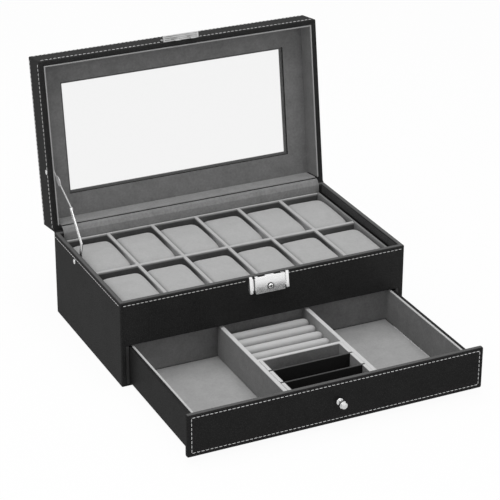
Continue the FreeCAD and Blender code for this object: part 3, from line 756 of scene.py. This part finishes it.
def hingeFlap():
    # a strip: the (y, z) profile carried along X, its ends drawn in round the crease, and pressed in there
    # by dip * exp(-(away / dipWidth)^2)
    profile = np.array(flap["rise"] + flap["shelf"])
    step = np.concatenate([[0], np.cumsum(np.linalg.norm(np.diff(profile, axis=0), axis=1))])
    s = np.linspace(0, step[-1], flap["rows"])
    line = np.stack([np.interp(s, step, profile[:, 0]), np.interp(s, step, profile[:, 1])], -1)
    crease = step[len(flap["rise"]) - 1] + flap["creaseOn"]
    away = np.abs(s - crease)
    inward = flap["round"] * (1 - np.sqrt(1 - np.clip(1 - away / flap["round"], 0, 1) ** 2))
    dip = flap["dip"] * np.exp(-(away / flap["dipWidth"]) ** 2)
    u = np.linspace(-1, 1, flap["columns"])
    x = u[None] * (flap["halfX"] - inward)[:, None]
    backward, downward = flap["dipAlong"]
    y = line[:, :1] + (dip * backward)[:, None] + 0 * u[None]
    z = line[:, 1:] - (dip * downward)[:, None] + 0 * u[None]
    verts = np.stack([x, y, z], -1).reshape(-1, 3)
    faces = gridFaces(len(s), flap["columns"], wrapColumns=False)
    mesh = meshOf("hingeFlap", verts, faces)
    piece = place("hingeFlap", mesh, flapVelvet, None, ("hinge_flap",))
    solid = piece.modifiers.new("gauge", "SOLIDIFY")
    solid.thickness = flap["thick"] * mm
    solid.offset = -1
    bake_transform(piece)


# Drawer

drawerFront = {"thick": 6, "clear": 0.15, "low": 6.5, "high": 52, "radius": 1.9, "steps": 4}
drawerBox = {"outerX": 151, "skin": 3.5, "lining": 2.5, "backY": 77, "backSkin": 2, "low": 3.5, "floor": 6.5,
             "high": 43.5, "radius": 1.1, "liningRadius": 0.9}
drawerBoards = {"divider": (46, 51), "front": -90.5, "cross": (-15, -11), "high": 43, "strip": 42.5,
                "notches": (-64.3, -61.7, -38.3, -35.7), "notchLow": 6.8,
                "slotBoards": ((-64, -62), (-38, -36)), "slotX": 45.7, "slotHigh": 42.7,
                "radius": 1.1, "thinRadius": 0.5}


def drawer():
    # a front block, box and lining each in a U, dividers in an H, notched strips and the boards in them
    d, b = drawerBox, drawerBoards
    front = -case["halfY"]
    # frontSkin is a darker copy of the leather (painted shade), with painted top light on its top face
    frontSkin = leatherFinish("frontSkin", 0.75, drawerFront["high"])
    panel = block(-case["halfX"], case["halfX"], front - drawerFront["thick"], front - drawerFront["clear"],
                  drawerFront["low"], drawerFront["high"])
    boards("drawerFrontLeather", panel, drawerFront["radius"], frontSkin, "drawer",
           ("drawer_front",), drawerAtRest, drawerFront["steps"])
    x = d["outerX"]
    wall, back = d["skin"], d["backY"] - d["backSkin"]
    shell = np.zeros((3, 2, 1), bool)
    shell[[0, 2]] = True
    shell[:, 1] = True
    skin = cellSkin([-x, -x + wall, x - wall, x], [front, back, d["backY"]], [d["low"], d["high"]], shell)
    boards("drawerBoxLeather", skin, d["radius"], leather, "drawer",
           ("drawer_left_side", "drawer_right_side", "drawer_back"), drawerAtRest)
    x -= wall
    wall = d["lining"]
    liningBack = back - d["backSkin"]
    skin = cellSkin([-x, -x + wall, x - wall, x], [front, liningBack, back], [d["floor"], d["high"]], shell)
    boards("drawerLining", skin, d["liningRadius"], liningVelvet, "drawer", (), drawerAtRest)
    near, far = b["divider"]
    filled = np.zeros((3, 3, 1), bool)
    filled[[0, 2]] = True
    filled[1, 1] = True
    skin = cellSkin([-far, -near, near, far], [b["front"], *b["cross"], liningBack],
                    [d["floor"], b["high"]], filled)
    boards("drawerDividers", skin, b["radius"], dividerVelvet, "drawer",
           ("drawer_left_divider", "drawer_right_divider", "ring_cross_divider"), drawerAtRest)
    filled = np.zeros((3, 5, 2), bool)
    filled[[0, 2]] = True
    filled[:, 1::2, 1] = False
    skin = cellSkin([-near, -b["strip"], b["strip"], near], [b["front"], *b["notches"], b["cross"][0]],
                    [d["floor"], b["notchLow"], b["high"]], filled)
    radius = b["thinRadius"]
    boards("slotStrips", skin, radius, dividerVelvet, "drawer", ("slot_strips",), drawerAtRest)
    skins = [block(-b["slotX"], b["slotX"], near, far, b["notchLow"], b["slotHigh"])
             for near, far in b["slotBoards"]]
    boards("slotBoards", joined(*skins), radius, blackVelvet, "drawer",
           ("ring_slot_dividers",), drawerAtRest)


knob = {"z": 29.25, "facets": 10, "flangeSides": 36,
        "head": [(2.3, 2), (2.3, 4.2), (4.0, 5.3), (4.6, 6.6), (4.4, 8.2), (3.4, 10.1), (1.7, 11.2),
                 (pole, 11.5)],
        "flange": [(pole, 0), (4, 0), (4.05, 0.5), (3.8, 1.1), (3.2, 1.6), (2.6, 2.1), (2.2, 2.4)]}


def drawerKnob():
    # two turned profiles: a head with flat facets and a round flange
    centre = (0, -case["halfY"] - drawerFront["thick"], knob["z"])
    verts, faces = lathe(knob["head"], knob["facets"], centre, (0, -1, 0), (1, 0, 0))
    mesh = meshOf("knobHead", drawerAtRest(verts), faces, False)
    place("knobHead", mesh, knobChrome, "drawer", ("knob",))
    verts, faces = lathe(knob["flange"], knob["flangeSides"], centre, (0, -1, 0), (1, 0, 0))
    place("knobFlange", meshOf("knobFlange", drawerAtRest(verts), faces), knobChrome, "drawer")


# Lock, catch and stay

lock = {"x": 1.8, "low": 76.5, "plateY": -93.2, "barY": -94.2, "coverY": -96.7, "flare": 2.6,
        "wingFlare": 3, "wingFront": 0.1, "wingRadius": 0.45, "bar": (18.6, 22), "tab": (17.2, 18.6),
        "tabTrim": 2.6, "coverX": 16.5, "coverRadius": 0.4, "coverSteps": 4,
        "slotX": (5.2, 12.8), "slotY": -95.4, "wall": 0.8, "face": 0.55,
        "keyZ": 82.8, "keyY": -98.4, "keyStand": 0.9, "keyRing": 3.3, "ringThick": 0.45, "ringSteps": 13,
        "sides": 40, "keyway": (0.5, 1.5), "keywayProud": 0.05, "keywayDeep": 0.5, "keywayRadius": 0.15,
        "keyFace": [(pole, -1.4), (3, -1.4), (3, 0), (2.7, 0.35), (1.9, 0.7), (1, 0.85), (pole, 0.9)]}


def leaned(verts, flare, share):
    # faces stand out by flare at the foot and not at the head: y - flare * (1 - height) * share
    height = (verts[:, 2] - lock["low"]) / (case["rim"] - lock["low"])
    return verts + np.stack([0 * height + lock["x"], -flare * (1 - height) * share, 0 * height], -1)


def leanedBack(verts):
    depth = np.clip((lock["plateY"] - verts[:, 1]) / (lock["plateY"] - lock["coverY"]), 0, 1)
    return leaned(verts, lock["flare"], depth)


def leanedWings(verts):
    return leaned(verts, lock["wingFlare"], verts[:, 1] < -case["halfY"] - lock["wingFront"])


def lockSet():
    # two wings of a bar and a tab, a hollow cover, and a key turned from profiles
    high, back = case["rim"], -case["halfY"]
    skins = []
    for side in (-1, 1):
        bar = sorted(side * edge for edge in lock["bar"])
        tab = sorted(side * edge for edge in lock["tab"])
        skins.append(block(*bar, lock["barY"], back, lock["low"], high))
        skins.append(block(*tab, lock["plateY"], back, lock["low"] + lock["tabTrim"], high - lock["tabTrim"]))
    boards("lockWings", joined(*skins), lock["wingRadius"], lockPlating, "base", ("lock_plate",),
           leanedWings)
    # the cover is hollow behind its face, with two slots through its top
    near, far, edge = *lock["slotX"], lock["coverX"] - lock["wall"]
    filled = np.ones((7, 3, 3), bool)
    filled[1:6, 1:, 1] = False
    filled[2:5:2, 2, 2] = False
    skin = cellSkin([-lock["coverX"], -edge, -far, -near, near, far, edge, lock["coverX"]],
                    [lock["coverY"], lock["coverY"] + lock["face"], lock["slotY"], lock["plateY"]],
                    [lock["low"], lock["low"] + lock["wall"], high - lock["wall"], high], filled)
    boards("lockCover", skin, lock["coverRadius"], lockPlating, "base", ("lock_cover",), leanedBack,
           lock["coverSteps"])
    # the near-black ring round the key and the near-black block in the keyway are painted shade: they stand in
    # for the groove and the slot, which are dark only from shade
    keyCentre = (lock["x"], lock["keyY"], lock["keyZ"])
    turn = np.linspace(0, 2 * np.pi, lock["ringSteps"])
    thick = lock["ringThick"]
    ring = [(lock["keyRing"] + thick * math.cos(a), thick * math.sin(a)) for a in turn]
    verts, faces = lathe(ring, lock["sides"], keyCentre, (0, -1, 0), (1, 0, 0))
    place("keyRing", meshOf("keyRing", verts, faces), paintedShadeSteel, "base")
    verts, faces = lathe(lock["keyFace"], lock["sides"], keyCentre, (0, -1, 0), (1, 0, 0))
    place("keyFace", meshOf("keyFace", verts, faces), lockPlating, "lock_key", ("key_cylinder",))
    halfWidth, halfHeight = lock["keyway"]
    front = lock["keyY"] - lock["keyStand"]
    fill = block(lock["x"] - halfWidth, lock["x"] + halfWidth, front - lock["keywayProud"],
                 front + lock["keywayDeep"], lock["keyZ"] - halfHeight, lock["keyZ"] + halfHeight)
    boards("keyway", fill, lock["keywayRadius"], paintedShadeSteel, "lock_key")


catch = {"x": 0.3, "halfX": 20.3, "front": -98.5, "low": 94.8, "flange": 97.3, "high": 103.8, "radius": 0.25,
         "groove": 1.1, "grooveX": 18.7, "grooves": (-97.7, -97.1, -95.8, -95.2, -93.9, -93.3),
         "leg": (6, 12), "legLow": 85, "legY": (-95, -94), "legRadius": 0.2}


def lidCatch():
    # an angle plate with three grooves in the flange that meets the lock, and two legs
    c, x = catch, catch["x"]
    filled = np.ones((3, 7, 3), bool)
    filled[1, 1::2, 0] = False
    filled[:, :6, 2] = False
    angle = cellSkin([x - c["halfX"], x - c["grooveX"], x + c["grooveX"], x + c["halfX"]],
                     [c["front"], *c["grooves"], -case["halfY"]],
                     [c["low"], c["low"] + c["groove"], c["flange"], c["high"]], filled)
    boards("lidCatch", angle, c["radius"], catchPlating, "lid", ("lid_catch",), lidAtRest)
    legs = [block(*sorted(lock["x"] + side * edge for edge in c["leg"]), *c["legY"],
                  c["legLow"], c["low"] + c["groove"]) for side in (-1, 1)]
    boards("catchLegs", joined(*legs), c["legRadius"], catchPlating, "lid", (), lidAtRest)


stayArm = {"bar": 1, "eye": 2.5, "lobe": 4.2, "lobeHalf": 6.5, "lobeAt": 15, "rows": 120, "tip": 0.3,
           "flush": 0.1, "radius": 0.2}
stayBodies = {"stay_lower_arm": "lower_arm", "stay_elbow_rivet": "lower_arm", "stay_base_rivet": "base",
              "stay_lid_rivet": "lid"}
stayEasing = 0.25


def upperArm():
    # a plate along its axis s: the half width is the widest of a bar, an eye at each end and an oval near
    # the lid, where an oval is width * sqrt(1 - ((s - middle) / half)^2)
    boxes = [np.array(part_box(node)) / mm for node in ("stay_upper_arm", "stay_elbow_rivet", "stay_lid_rivet")]
    elbow, lidEnd = (corners.mean(0)[1:] for corners in boxes[1:])
    run = lidEnd - elbow
    length = np.linalg.norm(run)
    along = run / length
    s = np.linspace(-stayArm["eye"], length + stayArm["eye"], stayArm["rows"])

    def oval(middle, half, width):
        return width * np.sqrt(np.clip(1 - ((s - middle) / half) ** 2, 0, 1))

    eyes = [oval(middle, stayArm["eye"], stayArm["eye"]) for middle in (0, length)]
    bar = np.where((s > 0) & (s < length), stayArm["bar"], stayArm["tip"])
    lobe = oval(length - stayArm["lobeAt"], stayArm["lobeHalf"], stayArm["lobe"])
    width = np.max([*eyes, bar, lobe], axis=0)
    middle = elbow + s[:, None] * along
    side = np.array([-along[1], along[0]]) * width[:, None]
    low, high = boxes[0][:, 0]
    rims = [(low, 1), (high - stayArm["flush"], 1), (high - stayArm["flush"], -1), (low, -1)]
    lines = [np.column_stack([np.full(len(s), x), middle + sign * side]) for x, sign in rims]
    verts = np.stack(lines, 1).reshape(-1, 3)
    last = 4 * (len(s) - 1)
    faces = np.concatenate([gridFaces(len(s), 4), [[3, 2, 1, 0], [last, last + 1, last + 2, last + 3]]])
    mesh = meshOf("stayUpperArm", verts, faces)
    piece = place("stayUpperArm", mesh, dullSteel, "upper_arm", ("stay_upper_arm",))
    rounded(piece, stayArm["radius"], 2, "ANGLE")


def restOfStay():
    for node, body in stayBodies.items():
        eased(node, stayEasing, steel, body)


# Everything in turn

for make in (caseLeather, innerRims, hingePiping, lidLeather, revealReflectionSkin, lidVelvets, allStitching,
             trayBoards, pillows, hingeFlap, drawer, ringRolls, drawerKnob, lockSet, lidCatch, upperArm,
             restOfStay):
    make()
    print("made", make.__name__)

kept = {"deck_board": trayVelvet, "bay_liners": bayBoard, "glass_pane": glass, "drawer_floor": floorVelvet,
        "drawer_front_liner": liningVelvet, "hinge_base_leaves": steel, "hinge_lid_leaves": steel,
        "hinge_pins": steel, "lock_cam": steel, "knob_screw": steel}
for node, finish in kept.items():
    nodes[node].data.materials.clear()
    nodes[node].data.materials.append(finish)
for node, piece in nodes.items():
    if node not in kept:
        piece.data.materials.clear()
        piece.data.materials.append(leather)
print("kept CAD nodes dressed:", len(kept))


# Floor, light and camera

studio = {"ambient": 0.42, "floorShade": 0.82, "floorHalf": 6000, "whiteShare": 0.95, "aim": (0, -0.05, 0.08)}


def seenDirectly(start):
    # 1 where the eye, a mirror or glass looks at it
    path = start.node("ShaderNodeLightPath")
    outs = path.socket.node.outputs
    kinds = ("Is Camera Ray", "Is Glossy Ray", "Is Transmission Ray")
    rays = [Wire(start.tree, outs[kind]) for kind in kinds]
    return (rays[0] + rays[1] + rays[2]).held()


def studioFloor():
    finish, start = newFinish("paleFloor")
    diffuse = start.node("ShaderNodeBsdfDiffuse", {}, {"Color": grey(studio["floorShade"])})
    white = start.node("ShaderNodeEmission", {}, {"Color": grey(1), "Strength": 1.0})
    share = seenDirectly(start) * studio["whiteShare"]
    mixed = start.node("ShaderNodeMixShader", {}, {0: share, 1: diffuse, 2: white})
    start.node("ShaderNodeOutputMaterial", {}, {"Surface": mixed})
    size = studio["floorHalf"]
    floor = bpy.data.objects.new("studioFloor", meshOf("studioFloor", np.array(
        [[-size, -size, 0], [size, -size, 0], [size, size, 0], [-size, size, 0]]), np.array([[0, 1, 2, 3]])))
    scene.collection.objects.link(floor)
    floor.data.materials.append(finish)


def studioWorld():
    world = bpy.data.worlds.new("studioWorld")
    scene.world = world
    world.use_nodes = True
    world.node_tree.nodes.clear()
    start = Wire(world.node_tree)
    strength = studio["ambient"] + seenDirectly(start) * (1 - studio["ambient"])
    light = start.node("ShaderNodeBackground", {}, {"Color": grey(1), "Strength": strength})
    start.node("ShaderNodeOutputWorld", {}, {"Surface": light})


def softbox(name, spot, size, power):
    lamp = bpy.data.lights.new(name, "AREA")
    lamp.shape = "SQUARE"
    lamp.size = size
    lamp.energy = power
    box = bpy.data.objects.new(name, lamp)
    scene.collection.objects.link(box)
    box.location = spot
    aim = Vector(studio["aim"]) - Vector(spot)
    box.rotation_euler = aim.to_track_quat("-Z", "Y").to_euler()


softboxes = (("topBox", (-0.2, -0.1, 1.9), 1.6, 26), ("leftBox", (-1.9, -0.5, 0.9), 1.3, 7),
             ("frontBox", (0.3, -2.4, 1.1), 1.4, 9))
camera = {"azimuth": -0.446023553, "elevation": 0.443000144, "roll": 0.003944932,
          "spot": (-0.80202, -1.73031, 0.98578), "lens": 144.51, "sensor": 36, "clip": (0.05, 50)}


def studioCamera():
    az, el, roll = camera["azimuth"], camera["elevation"], camera["roll"]
    back = Vector((math.sin(az) * math.cos(el), -math.cos(az) * math.cos(el), math.sin(el)))
    right = (-back).cross(Vector(up)).normalized()
    upward = back.cross(right)
    across = right * math.cos(roll) + upward * math.sin(roll)
    upright = upward * math.cos(roll) - right * math.sin(roll)
    lens = bpy.data.cameras.new("photoCamera")
    lens.lens, lens.sensor_width = camera["lens"], camera["sensor"]
    lens.clip_start, lens.clip_end = camera["clip"]
    eye = bpy.data.objects.new("photoCamera", lens)
    scene.collection.objects.link(eye)
    turn = Matrix((across, upright, back)).transposed().to_4x4()
    eye.matrix_world = Matrix.Translation(camera["spot"]) @ turn
    scene.camera = eye


studioFloor()
studioWorld()
for box in softboxes:
    softbox(*box)
studioCamera()
print("studio ready")
